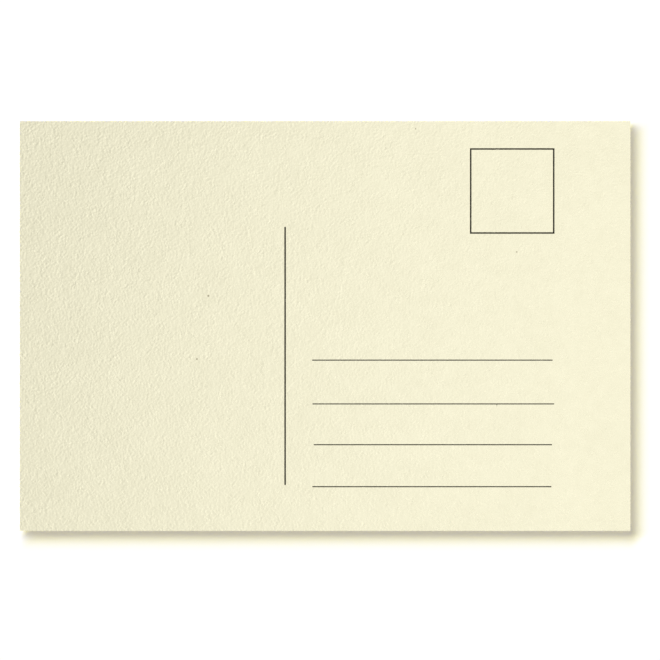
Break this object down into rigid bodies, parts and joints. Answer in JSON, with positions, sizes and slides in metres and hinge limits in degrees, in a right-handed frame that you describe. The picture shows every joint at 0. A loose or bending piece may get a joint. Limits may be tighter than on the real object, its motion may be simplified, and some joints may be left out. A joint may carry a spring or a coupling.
{
  "type": "postcard",
  "caption": "Flat rectangular card of plied ivory board, with a printed divider, address lines and stamp box, for writing on and posting.",
  "frame": {"origin": "middle of the card's underside, which is the face it lies on", "axes": "+X along the long side to the right as the writing side is read, +Y along the short side to the upper edge, +Z out of the writing side"},
  "size_m": [0.152, 0.102, 0.0004],
  "materials": {
    "liner_board": "matte",
    "core_board": "matte",
    "line_ink": "matte"
  },
  "bodies": {
    "root": {"picture_side_liner": "liner_board", "core_ply": "core_board", "writing_side_liner": "liner_board", "stamp_box_outline": "line_ink", "divider_line": "line_ink", "address_line_1": "line_ink", "address_line_2": "line_ink", "address_line_3": "line_ink", "address_line_4": "line_ink"}
  },
  "joints": []
}
